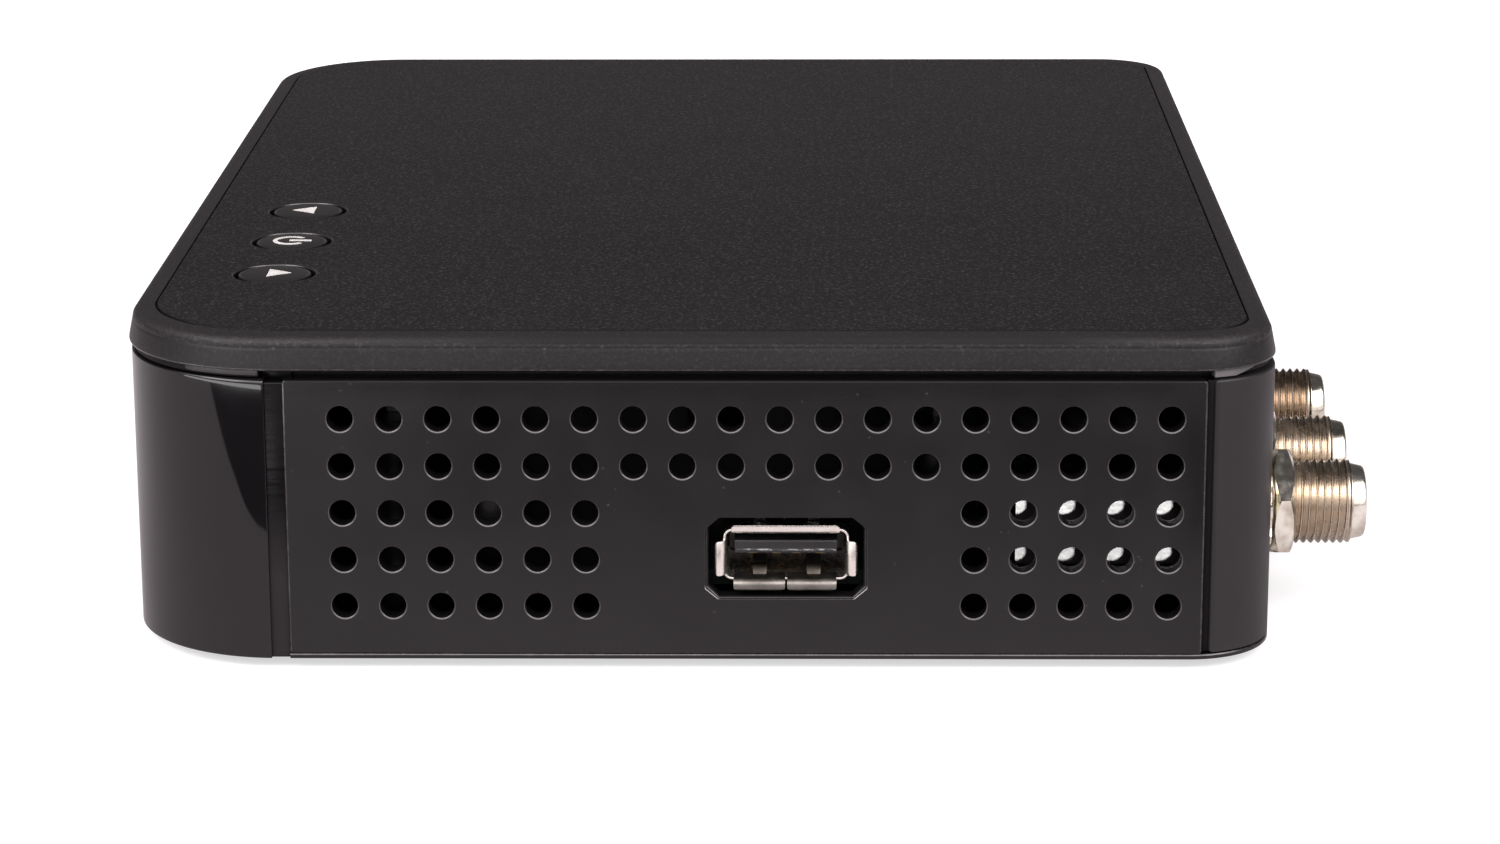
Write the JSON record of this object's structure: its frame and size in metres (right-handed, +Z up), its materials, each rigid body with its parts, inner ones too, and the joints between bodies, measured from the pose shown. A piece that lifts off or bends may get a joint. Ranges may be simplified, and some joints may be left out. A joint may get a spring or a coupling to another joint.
{
  "type": "satellite tv receiver",
  "caption": "Compact satellite tv receiver: perforated side walls, a side USB socket, round press keys on the cover and threaded aerial sockets at the back.",
  "frame": {"origin": "on the surface the feet stand on, in the middle of the overall box", "axes": "+Z up; the front faces -Y and the sockets face +Y; +X is the right side seen from the front, which holds the USB socket"},
  "size_m": [0.158, 0.1312, 0.0358],
  "materials": {
    "case_plastic": "fine satin texture, moulded",
    "cover_plastic": "fine spark-eroded grain",
    "front_gloss": "polished",
    "smoked_lens": "polished, smoked",
    "key_plastic": "satin with white printed symbols",
    "switch_body": "moulded",
    "switch_plunger": "moulded",
    "circuit_board": "solder resist",
    "display_block": "moulded",
    "infrared_lens": "polished",
    "led_red": "clear red",
    "screw_steel": "zinc plated",
    "shield_steel": "tinned sheet",
    "chip_resin": "moulded resin",
    "sink_aluminium": "extruded",
    "capacitor_sleeve": "shrunk sleeve",
    "ferrite": "ferrite",
    "ribbon_film": "film",
    "nickel": "nickel plated, warm",
    "insulator": "moulded",
    "socket_steel": "nickel plated sheet",
    "tongue_plastic": "moulded",
    "socket_black": "moulded",
    "foot_rubber": "rubber"
  },
  "bodies": {
    "receiver": {"lower_case": "case_plastic", "top_cover": "cover_plastic", "front_panel": "front_gloss", "display_lens": "smoked_lens", "power_switch": "switch_body", "channel_up_switch": "switch_body", "channel_down_switch": "switch_body", "main_board": "circuit_board", "key_board": "circuit_board", "front_board": "circuit_board", "display_module": "display_block", "ir_receiver": "infrared_lens", "status_led": "led_red", "key_board_screw_1": "screw_steel", "key_board_screw_2": "screw_steel", "board_screw_1": "screw_steel", "board_screw_2": "screw_steel", "board_screw_3": "screw_steel", "board_screw_4": "screw_steel", "case_screw_1": "screw_steel", "case_screw_2": "screw_steel", "case_screw_3": "screw_steel", "case_screw_4": "screw_steel", "tuner_can": "shield_steel", "main_processor": "chip_resin", "memory_chip": "chip_resin", "heat_sink": "sink_aluminium", "power_capacitor": "capacitor_sleeve", "power_inductor": "ferrite", "key_ribbon": "ribbon_film", "front_ribbon": "ribbon_film", "aerial_socket_1": "nickel", "aerial_socket_2": "nickel", "aerial_socket_3": "nickel", "aerial_nut_1": "nickel", "aerial_nut_2": "nickel", "aerial_nut_3": "nickel", "aerial_washer_1": "nickel", "aerial_washer_2": "nickel", "aerial_washer_3": "nickel", "aerial_insulator_1": "insulator", "aerial_insulator_2": "insulator", "aerial_insulator_3": "insulator", "usb_shell": "socket_steel", "hdmi_port": "socket_steel", "usb_tongue": "tongue_plastic", "ethernet_jack": "socket_black", "av_jack": "socket_black", "dc_jack": "socket_black", "foot_1": "foot_rubber", "foot_2": "foot_rubber", "foot_3": "foot_rubber", "foot_4": "foot_rubber"},
    "power_key": {"power_button": "key_plastic", "power_switch_plunger": "switch_plunger"},
    "channel_up_key": {"channel_up_button": "key_plastic", "channel_up_switch_plunger": "switch_plunger"},
    "channel_down_key": {"channel_down_button": "key_plastic", "channel_down_switch_plunger": "switch_plunger"}
  },
  "joints": [
    {"name": "power_press", "type": "slide", "parent": "receiver", "child": "power_key", "axis": [0, 0, -1], "range_m": [0, 0.0005], "stiffness_N_per_m": 3000},
    {"name": "channel_up_press", "type": "slide", "parent": "receiver", "child": "channel_up_key", "axis": [0, 0, -1], "range_m": [0, 0.0005], "stiffness_N_per_m": 3000},
    {"name": "channel_down_press", "type": "slide", "parent": "receiver", "child": "channel_down_key", "axis": [0, 0, -1], "range_m": [0, 0.0005], "stiffness_N_per_m": 3000}
  ]
}
